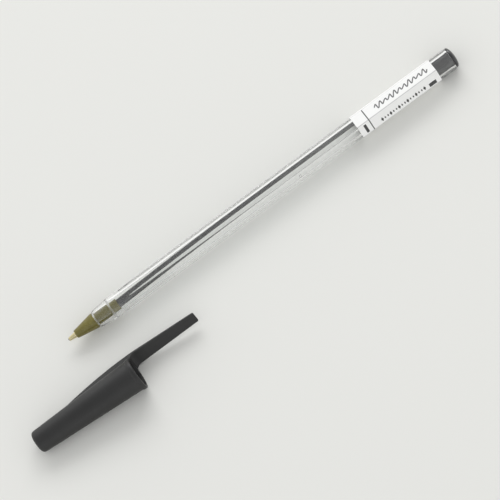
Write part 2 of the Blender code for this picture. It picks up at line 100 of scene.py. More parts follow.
# Refill
BALL_RADIUS = (BALL_HIGH.x - BALL_LOW.x) / 2
BALL_CUTS = 11
BALL_GRIP = 0.2 * MM
LIP_WALL = 0.06 * MM
LIP_LENGTH = 0.35 * MM
LIP_FLARE = 0.11 * MM
SOCKET_RADIUS = BALL_RADIUS + 0.02 * MM
SOCKET_STEPS = 12
POINT_RADIUS = POINT_HIGH.y
POINT_COLLAR = 0.2 * MM
POINT_CHAMFER = 0.15 * MM
POINT_DUCT_RADIUS = 0.35 * MM
POINT_SIDES = 56
POCKET_RADIUS = POINT_RADIUS + FIT_GAP
CONE_LIP = 0.4 * MM
CONE_BASE_RADIUS = HOLDER_HIGH.y
SHANK_RADIUS = SEAT_BORE_DIAMETER / 2 - FIT_GAP
SHANK_LENGTH = 5.5 * MM
TAIL_RADIUS = 1.8 * MM
TAIL_CHAMFER = 0.15 * MM
HOLDER_DUCT_RADIUS = 0.45 * MM
HOLDER_SIDES = 72
TUBE_RADIUS = -TUBE_LOW.y
TUBE_WALL = 0.33 * MM
TUBE_SWING = 1.6 * MM           # the bent tube lies along the bore's wall, this far off the axis
TUBE_REST = 58.0 * MM           # behind its socket, it comes to rest there
TUBE_LEAN = radians(35.0)
TUBE_SIZES = {
    "Front": TUBE_LOW.x, "Rear": TUBE_HIGH.x, "Socket Mouth": HOLDER_HIGH.x, "Rest": TUBE_REST,
    "Axis Height": AXIS_HEIGHT, "Swing": TUBE_SWING, "Lean": TUBE_LEAN, "Radius": TUBE_RADIUS,
    "Sides": 48, "Rows": 90}
INK_WETTING = 0.01 * MM         # the ink wets the tube's wall, so no air shows between them
INK_MENISCUS = 0.5 * MM
INK_DARK_LENGTH = 40.0 * MM           # behind this length the ink runs greyer towards the rear
INK_SIDES = 40
INK_ROWS = 60
MENISCUS_ROWS = 9

# End plug
PLUG_RADIUS = PLUG_HIGH.y
PLUG_WALL = 0.85 * MM
PLUG_CORE_DEPTH = 8.0 * MM
PLUG_LEAD_IN = 0.5 * MM
PLUG_SIDES = 80
FLANGE_RIM = 0.5 * MM
DOME_ROWS = 12

# Sticker
LABEL_OUTER = LABEL_HIGH.z - BARREL_HIGH.z
LABEL_THICKNESS = 0.1 * MM
LABEL_END = radians(3.0)
LABEL_FOLD_SHADE = radians(2.5)       # half width of the painted grey shade over each edge of the barrel
PRINT_THICKNESS = 0.012 * MM
PRINTED_BARS = (                # front end and width in mm, first and last angle in degrees
    (39.64, 0.32, 62, 178),     # rule across the top and near facets
    (37.4, 0.9, 128, 173),      # bar in the ink's colour, ahead of the rule
    (60.8, 2.6, 157, 175))      # bar at the rear end
PRINT_SIZES = {
    "Station": 43.4 * MM, "Lift": BARREL_FLATS / 2 + LABEL_OUTER + PRINT_THICKNESS / 2,
    "Film": PRINT_THICKNESS, "Axis Height": AXIS_HEIGHT}
WAVE_SIZES = {                  # pen line on the top facet
    **PRINT_SIZES, "Facet Turn": 0.0, "Rise": 0.0, "Length": 19.6 * MM, "Turns": 11.0,
    "Height": 0.85 * MM, "Lean": 0.28 * MM, "Stroke": 0.36 * MM, "Points": 400}
WAVE_SWELL = 0.28               # share of the height that comes and goes
WAVE_SWELL_PACE = 0.31
LOZENGE_SIZES = {               # row on the near facet, below its middle
    **PRINT_SIZES, "Facet Turn": radians(60), "Rise": -0.75 * MM, "Count": 16, "Pitch": 1.05 * MM,
    "Width": 0.74 * MM}
LOZENGE_SMALL = 0.75            # scale of the small ones, and what every third one has on top
LOZENGE_EXTRA = 0.45
LOZENGE_TALL = 1.7

# Cap and clip, in the cap's own frame: X from the closed end to the mouth, the clip at +Z
CAP_LENGTH = 37.0 * MM
CAP_END_RADIUS = 3.6 * MM
CAP_END_ROUND = 1.8 * MM
CAP_END_WALL = 1.5 * MM
CAP_FLOOR_ROUND = 0.7 * MM
CAP_WALL = 0.75 * MM
CAP_BORE_RADIUS = 4.317 * MM
CAP_MOUTH_RADIUS = CAP_BORE_RADIUS + CAP_WALL
CAP_LIP_RADIUS = CAP_MOUTH_RADIUS + 0.2 * MM
CAP_LIP_LENGTH = 1.6 * MM
CAP_LIP_ROUND = 0.35 * MM
CAP_LIP_FOOT = 1.0 * MM         # rounding where the lip leaves the wall, and on its crest
CAP_LIP_CREST = 0.5 * MM
CAP_RIM_RADIUS = CAP_LIP_RADIUS - CAP_LIP_ROUND
CAP_VENT_RADIUS = 1.2 * MM
CAP_HOLE_EDGE = 0.12 * MM       # rounding of the edges of the vent and the bore
CAP_ROW = 0.45 * MM             # longest step between two rows outside, and in the bore
CAP_BORE_ROW = 2.0 * MM
CAP_CORNER_STEPS = 10
CAP_YAW = radians(-2.85)
CLIP_OVERHANG = 23.3 * MM
CLIP_OUTER = CAP_MOUTH_RADIUS + 1.8 * MM
CLIP_THICKNESS = 1.1 * MM
CLIP_TIP_THICKNESS = 0.9 * MM
CLIP_INNER = CLIP_OUTER - CLIP_THICKNESS
CLIP_WIDTH = 5.2 * MM
CLIP_TIP_WIDTH = 3.65 * MM
CLIP_ROOT_WIDTH = 4.4 * MM
CLIP_EDGE = 0.25 * MM
CLIP_TIP_ROUND = 0.5 * MM
CLIP_RAMP = 26.8 * MM
CLIP_RAMP_EASE = 1.9
CLIP_START = CAP_LENGTH - CLIP_RAMP
CLIP_GUSSET = 1.9 * MM
CLIP_CORNER_SHARPNESS = 24.0
CLIP_FILLET_SHARPNESS = 34.0
CLIP_EDGE_LIMIT = 0.93          # the clip's edge stays inside its foot by this share of the angle
TOP_COLUMNS = 7                 # columns over half of the clip's outer face
SIDE_COLUMNS = 9                # down its side
WALL_COLUMNS = 30               # and over half of the wall
STRIP_COUNT = 2 * (SIDE_COLUMNS + TOP_COLUMNS) + 1
COLUMN_CROWDING = 0.35          # columns crowd towards the clip's edges and feet
GUSSET_ROWS = 10
TONGUE_ROWS = 24
TIP_ROWS = 7

# Hairline scratches
SCRATCH_TURNS = (0.35, 1.9)
SCRATCH_STRETCH = 0.06
SCRATCH_THINNESS = 60.0

# Camera
LENS = 170.0
NEAREST = 0.01
VIEW_DISTANCE = 0.71296
VIEW_TARGET = Vector((-0.012171, -0.010165, 0.0))
VIEW_AZIMUTH = radians(-90.3)
VIEW_ELEVATION = radians(64.3)
VIEW_ROLL = radians(-36.141)

# Studio
FLOOR_COLOUR = (0.79, 0.79, 0.765)
FLOOR_MOTTLE = 0.985            # how dark its darker patches are
FLOOR_ROUGHNESS = 0.9
FLOOR_SIZE = 6.0
FLOOR_HEIGHT = 0.01 * MM        # a hair above the resting facet, so that no air shows under the clear barrel
FILL_COLOUR = (0.995, 1.0, 0.995)
FILL_OVERHEAD = 0.56
FILL_LEVEL = 1.24               # at the height of the table; the ceiling is darker
SOFTBOX_WIDTH = 2.0
SOFTBOX_HEIGHT = 0.8
SOFTBOX_POWER = 19.0
SOFTBOX_DISTANCE = 2.0
SOFTBOX_AZIMUTH = radians(62.0)
SOFTBOX_ELEVATION = radians(36.0)


class Result:
    """What a node puts out. Arithmetic with it lays math nodes."""

    def __init__(self, tree, socket):
        self.tree = tree
        self.socket = socket

    def to(self, operation, *others):
        return lay(self.tree, "Math", dict(enumerate((self, *others))), operation=operation)

    def __add__(self, other):
        return self.to("ADD", other)

    def __sub__(self, other):
        return self.to("SUBTRACT", other)

    def __rsub__(self, other):
        return lay(self.tree, "Math", {0: other, 1: self}, operation="SUBTRACT")

    def __mul__(self, other):
        return self.to("MULTIPLY", other)

    def __truediv__(self, other):
        return self.to("DIVIDE", other)

    def __rtruediv__(self, other):
        return lay(self.tree, "Math", {0: other, 1: self}, operation="DIVIDE")


def feed(tree, socket, value):
    """Link a result, or each of a list of them, into an input, or set the input's own value."""
    if isinstance(value, list):
        for one in value:
            feed(tree, socket, one)
    elif isinstance(value, Result):
        tree.links.new(value.socket, socket)
    else:
        socket.default_value = value


def lay(tree, kind, inputs=None, output=0, **settings):
    """Lay a node, named without its family, with its settings and inputs, and give one of its outputs."""
    family = "ShaderNode" if hasattr(bpy.types, "ShaderNode" + kind) else "GeometryNode"
    node = tree.nodes.new(family + kind)
    for name, value in settings.items():
        setattr(node, name, value)
    for name, value in (inputs or {}).items():
        feed(tree, node.inputs[name], value)
    return Result(tree, node.outputs[output])


def spot(tree, **axes):
    """A place from its X, Y and Z."""
    return lay(tree, "CombineXYZ", axes)


def parts(tree, place):
    """The X, Y and Z of a place."""
    node = tree.nodes.new("ShaderNodeSeparateXYZ")
    feed(tree, node.inputs[0], place)
    return [Result(tree, socket) for socket in node.outputs]


def rounded(corners, steps=CORNER_STEPS):
    """Outline through (along, out, radius) corners, each corner rounded by its radius."""
    outline = [Vector(corners[0][:2])]
    for before, here, after in zip(corners, corners[1:], corners[2:]):
        corner = Vector(here[:2])
        back = Vector(before[:2]) - corner
        ahead = Vector(after[:2]) - corner
        half = back.angle(ahead) / 2
        room = min(back.length, ahead.length) * CORNER_ROOM
        reach = min(here[2] / tan(half), room)
        if reach <= 0.0:
            outline.append(corner)
            continue
        back.normalize()
        ahead.normalize()
        radius = reach * tan(half)
        centre = corner + (back + ahead).normalized() * radius / sin(half)
        first = corner + back * reach - centre
        sweep = first.angle_signed(corner + ahead * reach - centre)
        for step in range(steps + 1):
            outline.append(centre + Matrix.Rotation(-sweep * step / steps, 2) @ first)
    outline.append(Vector(corners[-1][:2]))
    return outline


def dense(outline, longest):
    """The outline with extra points on every stretch longer than the given length."""
    filled = [outline[0]]
    for start, end in zip(outline, outline[1:]):
        count = max(1, ceil((end - start).length / longest))
        filled += [start.lerp(end, step / count) for step in range(1, count + 1)]
    return filled


def quarter(steps):
    """The angles of a quarter turn in equal steps, without its start."""
    return [pi / 2 * step / steps for step in range(1, steps + 1)]


def ring(shape, along, out, sides, across=0.0, height=AXIS_HEIGHT):
    """A ring of points round the pen's axis, or round a place off it."""
    turns = [tau * step / sides for step in range(sides)]
    return [shape.verts.new((along, across + out * cos(turn), height + out * sin(turn)))
            for turn in turns]


def skin(shape, near, far, closed=True):
    """Faces between two rows of points; points that the rows share make triangles."""
    count = len(near)
    for index in range(count if closed else count - 1):
        after = (index + 1) % count
        corners = []
        for point in (near[index], near[after], far[after], far[index]):
            if point not in corners:
                corners.append(point)
        if len(corners) > 2:
            shape.faces.new(corners)


def skin_rows(shape, rows, closed=True):
    for near, far in zip(rows, rows[1:]):
        skin(shape, near, far, closed)


def turned(outline, sides, closed=True):
    """Turn an outline of (x, radius) points round the pen's axis; a closed one is a ring off the axis."""
    shape = bmesh.new()
    rings = []
    for along, out in outline:
        if out < WELD:
            rings.append([shape.verts.new((along, 0.0, AXIS_HEIGHT))] * sides)
        else:
            rings.append(ring(shape, along, out, sides))
    skin_rows(shape, rings + rings[:1] if closed else rings)
    return shape


def put(name, data):
    """A new object in the scene."""
    made = bpy.data.objects.new(name, data)
    SCENE.collection.objects.link(made)
    return made


def keep_mesh(name, mesh, material, slot, sharp, replaced=None, body="pen"):
    """Link a finished mesh as a smooth piece that rides on a body."""
    mesh.name = name
    mesh.shade_smooth()
    mesh.set_sharp_from_angle(angle=radians(sharp))
    mesh.materials.clear()
    mesh.materials.append(material)
    piece = put(name, mesh)
    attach(piece, body)
    if replaced:
        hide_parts(replaced)


def keep(name, shape, material, *facts):
    """Weld a bmesh, turn its faces outwards and keep it as a piece."""
    bmesh.ops.remove_doubles(shape, verts=shape.verts, dist=WELD)
    bmesh.ops.recalc_face_normals(shape, faces=shape.faces)
    mesh = bpy.data.meshes.new(name)
    shape.to_mesh(mesh)
    shape.free()
    keep_mesh(name, mesh, material, *facts)


def shape_tree(name, sizes):
    """A geometry tree with a named input for each size, and what those inputs give."""
    tree = bpy.data.node_groups.new(name, "GeometryNodeTree")
    tree.interface.new_socket("Geometry", in_out="OUTPUT", socket_type="NodeSocketGeometry")
    kinds = {int: "NodeSocketInt", float: "NodeSocketFloat"}
    for label, value in sizes.items():
        kind = kinds.get(type(value), "NodeSocketMaterial")
        tree.interface.new_socket(label, in_out="INPUT", socket_type=kind)
    entry = tree.nodes.new("NodeGroupInput")
    return tree, {label: Result(tree, entry.outputs[label]) for label in sizes}


def end_tree(tree, geometry, material):
    """Finish a geometry tree: real geometry, smooth, with its material."""
    real = lay(tree, "RealizeInstances", {"Geometry": geometry})
    smooth = lay(tree, "SetShadeSmooth", {"Geometry": real})
    dressed = lay(tree, "SetMaterial", {"Geometry": smooth, "Material": material})
    feed(tree, tree.nodes.new("NodeGroupOutput").inputs[0], dressed)
    return tree


def grow(build, sizes, material):
    """Build a geometry tree, run it with its sizes, and give the result as a plain mesh."""
    sizes = {**sizes, "Material": material}
    tree = build(sizes)
    carrier = put(tree.name, bpy.data.meshes.new(tree.name))
    modifier = carrier.modifiers.new(tree.name, "NODES")
    modifier.node_group = tree
    for item in tree.interface.items_tree:
        if item.in_out == "INPUT":
            modifier[item.identifier] = sizes[item.name]
    depsgraph = bpy.context.evaluated_depsgraph_get()
    mesh = bpy.data.meshes.new_from_object(carrier.evaluated_get(depsgraph), depsgraph=depsgraph)
    carrier.modifiers.clear()
    bpy.data.objects.remove(carrier)
    return mesh


def noise(tree, place, scale, detail):
    return lay(tree, "TexNoise", {"Vector": place, "Scale": scale, "Detail": detail})


def mark_group(name, inputs, outputs):
    """An empty shader group: it, the place on the piece, what its inputs give, and its outputs."""
    group = bpy.data.node_groups.new(name, "ShaderNodeTree")
    for label, value in inputs.items():
        socket = group.interface.new_socket(label, in_out="INPUT", socket_type="NodeSocketFloat")
        socket.default_value = value
    for label in outputs:
        group.interface.new_socket(label, in_out="OUTPUT", socket_type="NodeSocketFloat")
    entry = group.nodes.new("NodeGroupInput")
    given = [Result(group, entry.outputs[label]) for label in inputs]
    place = lay(group, "TexCoord", output="Object")
    return group, place, given, group.nodes.new("NodeGroupOutput").inputs


def moulding_group():
    """Fine moulded grain as a height, and slow patches in the plastic as a value from 0 to 1."""
    group, place, (grain, patch), result = mark_group(
        "moulded_surface", {"Grain Size": 0.1, "Patch Size": 4.0}, ("Grain", "Patches"))
    for label, size, detail in (("Grain", grain, 3.0), ("Patches", patch, 2.0)):
        feed(group, result[label], noise(group, place, 1.0 / MM / size, detail))
    return group


def handling_group():
    """Fine hairline scratches from handling, as a mask."""
    group, place, (spacing, share), result = mark_group(
        "handling_marks", {"Spacing": 2.0, "Share": 0.5}, ("Scratches",))
    scratch = 0.0
    for turn in SCRATCH_TURNS:
        tilt = lay(group, "Mapping", {"Vector": place, "Rotation": (turn, turn * 0.6, turn)})
        stretch = lay(group, "Mapping", {"Vector": tilt, "Scale": (SCRATCH_STRETCH, 1.0, 1.0)})
        ridge = (noise(group, stretch, 1.0 / MM / spacing, 5.0) - 0.5).to("ABSOLUTE")
        scratch = (1.0 - ridge * SCRATCH_THINNESS).to("MAXIMUM", scratch)
    worn = noise(group, place, 0.15 / MM, 2.0).to("GREATER_THAN", share)
    feed(group, result["Scratches"], scratch * worn)
    return group


MOULDED = moulding_group()
HANDLED = handling_group()


class Finish:
    """One Principled material with moulded grain and patches, and short ways to lay what varies over it."""

    def __init__(self, name, grain, patch, **sockets):
        self.material = bpy.data.materials.new(name)
        self.material.use_nodes = True
        self.tree = self.material.node_tree
        self.shader = self.tree.nodes["Principled BSDF"]
        self.feed(**sockets)
        self.grain, self.patches = self.marks(MOULDED, grain, patch)

    def marks(self, group, *values):
        """Place a shader group with the values of its inputs, and give its outputs."""
        node = self.tree.nodes.new("ShaderNodeGroup")
        node.node_tree = group
        for socket, value in zip(node.inputs, values):
            socket.default_value = value
        return [Result(self.tree, socket) for socket in node.outputs]

    def place(self):
        """The X, Y and Z of the place on the piece."""
        return parts(self.tree, lay(self.tree, "TexCoord", output="Object"))

    def between(self, share, low, high):
        """A colour that runs from low to high as the share goes from 0 to 1."""
        low, high = (colour if isinstance(colour, Result) else (*colour, 1.0) for colour in (low, high))
        return lay(self.tree, "Mix", {"Factor": share, 6: low, 7: high}, output=2, data_type="RGBA")

    def patchy(self, dark, pale):
        """A colour that varies with the slow patches."""
        return self.between(self.patches, dark, pale)

    def span(self, share, low, high):
        """A number that runs from low to high as the share goes from 0 to 1."""
        return lay(self.tree, "MapRange", {"Value": share, "To Min": low, "To Max": high})

    def scratched(self, spacing, share, clean, worn):
        """A number that differs along the scratches from handling."""
        return self.span(self.marks(HANDLED, spacing, share)[0], clean, worn)

    def bump(self, depth, height=None):
        return lay(self.tree, "Bump", {"Height": height or self.grain, "Distance": depth})

    def feed(self, **sockets):
        for label, value in sockets.items():
            feed(self.tree, self.shader.inputs[label.replace("_", " ")], value)

    def wear(self, colour, rough, **others):
        """Feed the shader with what varies, and give the finished material."""
        self.feed(Base_Color=colour, Roughness=rough, **others)
        return self.material

    def pass_light(self, fill, shade):
        """Let light that falls through the wall go straight on, tinted, more so in a lamp's shadow."""
        rays = self.tree.nodes.new("ShaderNodeLightPath").outputs
        shadow, diffuse = (Result(self.tree, rays[label]) for label in ("Is Shadow Ray", "Is Diffuse Ray"))
        clear = lay(self.tree, "BsdfTransparent", {"Color": self.between(shadow, fill, shade)})
        wall = Result(self.tree, self.shader.outputs[0])
        mix = lay(self.tree, "MixShader", {"Fac": shadow.to("MAXIMUM", diffuse), 1: wall, 2: clear})
        feed(self.tree, self.tree.nodes["Material Output"].inputs["Surface"], mix)


def clear_styrene():
    """Clear wall with hairline scratches, and a satin ring at the front rim and at the bore's step."""
    finish = Finish("clear_styrene", 3.0, 14.0, Transmission_Weight=1.0, IOR=1.58)
    along = finish.place()[0]
    satin = 0.0
    for middle, reach in ((BARREL_LOW.x, RIM_SATIN), (BARREL_LOW.x + SEAT_BORE_LENGTH, STEP_SATIN)):
        away = (along - middle).to("ABSOLUTE")
        satin = (1.0 - away / reach).to("MAXIMUM", satin)
    rough = finish.scratched(1.2, 0.5, 0.0, 0.02).to("MAXIMUM", finish.span(satin, 0.0, 0.9))
    finish.pass_light((0.993, 0.997, 0.995), (0.76, 0.77, 0.765))
    return finish.wear(finish.patchy((0.99, 0.995, 0.992), (1.0, 1.0, 1.0)), rough)


def milky_tube():
    finish = Finish("milky_tube", 0.25, 5.0, Transmission_Weight=1.0, IOR=1.5)
    finish.pass_light((0.85, 0.86, 0.85), (0.85, 0.86, 0.85))
    return finish.wear(finish.patchy((0.80, 0.81, 0.80), (0.90, 0.90, 0.89)),
                       finish.span(finish.patches, 0.02, 0.08))


def black_ink():
    """Wet paste ink, greyer towards the rear."""
    finish = Finish("black_ink", 0.4, 3.0, IOR=1.48)
    toward_rear = lay(finish.tree, "MapRange", {
        "Value": finish.place()[0], "From Min": INK_LOW.x + INK_DARK_LENGTH, "From Max": INK_HIGH.x},
        interpolation_type="SMOOTHSTEP")
    front_ink = finish.patchy((0.006, 0.006, 0.008), (0.02, 0.02, 0.024))
    rear_ink = finish.patchy((0.10, 0.10, 0.10), (0.15, 0.15, 0.15))
    return finish.wear(finish.between(toward_rear, front_ink, rear_ink), finish.span(finish.patches, 0.12, 0.4),
                       Normal=finish.bump(0.003 * MM))


def olive_gold_plastic():
    """Pearly plastic, with shade painted on the shank inside the barrel, so it is darker than the cone in
    front of it.
    """
    finish = Finish("olive_gold_plastic", 0.09, 1.6, IOR=1.5)
    # painted shade: the part inside the barrel is coloured darker than the cone
    in_barrel_shade = finish.place()[0].to("GREATER_THAN", BARREL_LOW.x)
    cone = finish.patchy((0.125, 0.107, 0.022), (0.20, 0.175, 0.045))
    shaded_shank = finish.patchy((0.085, 0.072, 0.008), (0.15, 0.13, 0.02))
    return finish.wear(finish.between(in_barrel_shade, cone, shaded_shank), finish.scratched(0.6, 0.45, 0.24, 0.45),
                       Normal=finish.bump(0.004 * MM))


def brass():
    """Turned brass: fine rings across the axis, paler where it is rubbed."""
    finish = Finish("brass", 0.05, 0.7, Metallic=1.0)
    rings = lay(finish.tree, "TexWave", {
        "Vector": lay(finish.tree, "TexCoord", output="Object"), "Scale": 6.0 / MM,
        "Distortion": 0.4, "Detail": 2.0}, output="Fac", bands_direction="X")
    return finish.wear(finish.patchy((0.62, 0.54, 0.29), (0.80, 0.72, 0.47)),
                       finish.span(finish.grain, 0.18, 0.36), Normal=finish.bump(0.002 * MM, rings))


def hard_metal():
    """Polished ball with a smear of ink."""
    finish = Finish("hard_metal", 0.03, 0.45, Specular_IOR_Level=0.6)
    smear = finish.span(finish.patches, -1.2, 2.2)
    return finish.wear(finish.between(smear, (0.02, 0.02, 0.022), (0.56, 0.56, 0.57)),
                       finish.span(finish.grain, 0.08, 0.25), Metallic=smear)


def black_plug():
    finish = Finish("black_plug", 0.1, 2.5, IOR=1.5, Specular_IOR_Level=0.9)
    return finish.wear(finish.patchy((0.007, 0.007, 0.008), (0.016, 0.016, 0.018)),
                       finish.scratched(0.7, 0.48, 0.3, 0.45), Normal=finish.bump(0.004 * MM))


def black_cap():
    finish = Finish("black_cap", 0.13, 6.0, IOR=1.5)
    return finish.wear(finish.patchy((0.009, 0.009, 0.0092), (0.018, 0.018, 0.0182)),
                       finish.scratched(0.9, 0.5, 0.5, 0.36), Normal=finish.bump(0.009 * MM))


def white_sticker():
    """Satin film, with grey shade painted over each edge of the barrel."""
    finish = Finish("white_sticker", 0.08, 5.0, IOR=1.46)
    across, height = finish.place()[1:]
    from_fold = (height - AXIS_HEIGHT).to("ARCTAN2", across).to("PINGPONG", HALF_FACET)
    # painted shade: a grey band over each edge of the barrel, fading out from the edge
    fold_shade = (1.0 - from_fold / LABEL_FOLD_SHADE).to("MAXIMUM", 0.0)
    sheet = finish.patchy((0.90, 0.90, 0.89), (0.955, 0.955, 0.95))
    return finish.wear(finish.between(fold_shade, sheet, (0.5, 0.5, 0.5)),
                       finish.scratched(0.9, 0.5, 0.42, 0.3), Normal=finish.bump(0.003 * MM))


def print_ink(name, dark, pale):
    """Printed colour with the slight mottle of a thin ink film."""
    finish = Finish(name, 0.12, 0.6)
    return finish.wear(finish.patchy(dark, pale), finish.span(finish.grain, 0.35, 0.6))


def hexagon_radius(turn, half, edge):
    """Distance to a hexagon with rounded edges; turn is the angle from the facet's normal."""
    flat = half / turn.to("COSINE")
    centre = (half - edge) / cos(HALF_FACET)
    to_corner = HALF_FACET - turn
    side = centre * to_corner.to("SINE")
    rise = (edge * edge - side * side).to("MAXIMUM", 0.0)
    corner = centre * to_corner.to("COSINE") + rise.to("SQRT")
    flat_end = (half - edge) * tan(HALF_FACET)
    on_corner = (half * turn.to("TANGENT")).to("GREATER_THAN", flat_end)
    return flat + on_corner * (corner - flat)


def barrel_skin(size, turn, along):
    """Outer radius of the barrel: hexagon, cut down by the round nose, with rounded end rims."""
    rim = size["Rim"]
    to_end = along.to("MINIMUM", size["Length"] - along)
    short = rim - to_end.to("MINIMUM", rim)
    inset = rim - (rim * rim - short * short).to("SQRT")
    half = size["Flats"] * 0.5
    edge = size["Edge"]
    flat = hexagon_radius(turn, half - inset, edge - inset)
    widest = edge + (half - edge) / cos(HALF_FACET)
    front = size["Nose Diameter"] * 0.5
    share = (along / size["Nose Length"]).to("POWER", size["Nose Fullness"])
    nose = front + (widest - front) * share - inset
    over = (flat / nose).to("POWER", NOSE_BLEND)
    return flat * (over + 1.0).to("POWER", -1.0 / NOSE_BLEND)


def barrel_grid(tree, size, rows):
    """A grid round the six facets: it, its angles round and off the facets, and its share along."""
    columns = size["Facet Columns"] * 6.0 + 1.0
    grid = lay(tree, "MeshGrid", {"Size X": 1.0, "Size Y": 1.0, "Vertices X": columns, "Vertices Y": rows})
    across, along, _ = parts(tree, lay(tree, "InputPosition"))
    around = (across + 0.5) * 6.0
    facet = (around + FACET_HAIR).to("FLOOR")
    side = (around - facet) * 2.0 - 1.0
    swell = (side * pi).to("SINE") * (EDGE_CROWDING / pi)
    turn = (side + swell) * HALF_FACET
    middle = (facet + 0.5) * (2 * HALF_FACET)
    return grid, middle + turn, turn.to("ABSOLUTE"), along + 0.5


def bend_grid(tree, size, grid, along, radius, angle):
    """Put each point of a grid at its distance along the barrel, its radius and its angle."""
    place = spot(tree, X=size["Front"] + along, Y=radius * angle.to("COSINE"),
                 Z=size["Axis Height"] + radius * angle.to("SINE"))
    return lay(tree, "SetPosition", {"Geometry": grid, "Position": place})


def pick(tree, index, values):
    """The value whose place in the list is the index."""
    node = tree.nodes.new("GeometryNodeIndexSwitch")
    node.data_type = "FLOAT"
    while len(node.index_switch_items) < len(values):
        node.index_switch_items.new()
    for socket, value in zip(node.inputs, [index, *values]):
        feed(tree, socket, value)
    return Result(tree, node.outputs[0])


def barrel_tree(sizes):
    """Clear barrel: hexagonal skin with its nose, stepped bore back to the front, and the vent."""
    tree, size = shape_tree("clear_barrel", sizes)
    length = size["Length"]
    grid, angle, turn, share = barrel_grid(tree, size, size["Rows"])
    along = (1.0 - (share * pi).to("COSINE")) * 0.5 * length
    outside = bend_grid(tree, size, grid, along, barrel_skin(size, turn, along), angle)

    bore, seat, mouth = (size[label] * 0.5 for label in ("Bore Diameter", "Seat Diameter", "Mouth Diameter"))
    slope = size["Step Slope"] * 0.5
    stops = [length, length, length - size["Mouth Depth"], size["Seat Length"] + slope,
             size["Seat Length"] - slope, 0.0, 0.0]
    grid, angle, turn, share = barrel_grid(tree, size, len(stops))
    row = (share * (len(stops) - 1.0)).to("ROUND")
    along = pick(tree, row, stops)
    rim = barrel_skin(size, turn, along)
    radius = pick(tree, row, [rim, mouth, bore, bore, seat, seat, rim])
    in_barrel_shade = bend_grid(tree, size, grid, along, radius, angle)
    both = lay(tree, "JoinGeometry", {0: [outside, in_barrel_shade]})
    whole = lay(tree, "MergeByDistance", {"Geometry": both, "Distance": WELD})

    reach = size["Flats"] * 0.5
    pin = lay(tree, "MeshCylinder", {
        "Vertices": VENT_SIDES, "Radius": size["Vent Diameter"] * 0.5, "Depth": reach})
    place = spot(tree, X=size["Front"] + length - size["Vent From Rear"], Y=reach * -sin(VENT_LEAN),
                 Z=size["Axis Height"] + reach * cos(VENT_LEAN))
    cutter = lay(tree, "Transform", {
        "Geometry": pin, "Translation": place, "Rotation": (VENT_LEAN, 0.0, 0.0)})
    cut = lay(tree, "MeshBoolean", {"Mesh 1": whole, "Mesh 2": cutter},
              operation="DIFFERENCE", solver="EXACT")
    clean = lay(tree, "MergeByDistance", {"Geometry": cut, "Distance": WELD})
    return end_tree(tree, clean, size["Material"])


def make_barrel(material):
    mesh = grow(barrel_tree, BARREL_SIZES, material)
    keep_mesh("clear_barrel", mesh, material, "clear_styrene", 30.0, "barrel")


def sag(along):
    """Sideways place (y, z) of the ink tube's centre line: straight in its socket, then out to the wall."""
    share = min(max((along - HOLDER_HIGH.x) / TUBE_REST, 0.0), 1.0)
    swing = TUBE_SWING * (1 - (1 - share) ** 2)
    return swing * cos(TUBE_LEAN), AXIS_HEIGHT + swing * sin(TUBE_LEAN)


def tube_tree(sizes):
    """A round wall swept along the bent centre line."""
    tree, size = shape_tree("ink_tube", sizes)
    start, end = (spot(tree, X=size[label], Z=size["Axis Height"]) for label in ("Front", "Rear"))
    line = lay(tree, "CurvePrimitiveLine", {"Start": start, "End": end})
    path = lay(tree, "ResampleCurve", {"Curve": line, "Count": size["Rows"]})
    along = parts(tree, lay(tree, "InputPosition"))[0]
    past = (along - size["Socket Mouth"]).to("MAXIMUM", 0.0)
    short = (1.0 - past / size["Rest"]).to("MAXIMUM", 0.0)
    swing = size["Swing"] * (1.0 - short * short)
    shift = spot(tree, Y=swing * size["Lean"].to("COSINE"), Z=swing * size["Lean"].to("SINE"))
    bent = lay(tree, "SetPosition", {"Geometry": path, "Offset": shift})
    circle = lay(tree, "CurvePrimitiveCircle", {"Resolution": size["Sides"], "Radius": size["Radius"]})
    wall = lay(tree, "CurveToMesh", {"Curve": bent, "Profile Curve": circle})
    return end_tree(tree, wall, size["Material"])


def make_tube(material):
    """The swept wall, thickened inwards."""
    mesh = grow(tube_tree, TUBE_SIZES, material)
    shape = bmesh.new()
    shape.from_mesh(mesh)
    bmesh.ops.recalc_face_normals(shape, faces=shape.faces)
    bmesh.ops.solidify(shape, geom=shape.faces[:], thickness=TUBE_WALL)
    shape.to_mesh(mesh)
    shape.free()
    keep_mesh("ink_tube_wall", mesh, material, "milky_tube", 35.0, "ink_tube")


def make_ink(material):
    """Ink from the tube's front end to its hollow rear surface, wetting the tube's wall."""
    radius = TUBE_RADIUS - TUBE_WALL + INK_WETTING
    length = INK_HIGH.x - INK_LOW.x
    stops = [(INK_LOW.x + length * step / INK_ROWS, radius) for step in range(INK_ROWS + 1)]
    stops += [(INK_HIGH.x - INK_MENISCUS * sin(turn), radius * cos(turn))
              for turn in quarter(MENISCUS_ROWS)[:-1]]
    shape = bmesh.new()
    rows = [ring(shape, along, out, INK_SIDES, *sag(along)) for along, out in stops]
    skin_rows(shape, rows)
    for row in (rows[0], rows[-1]):
        shape.faces.new(row)
    keep("ink", shape, material, "black_ink", 40.0, "ink_column")


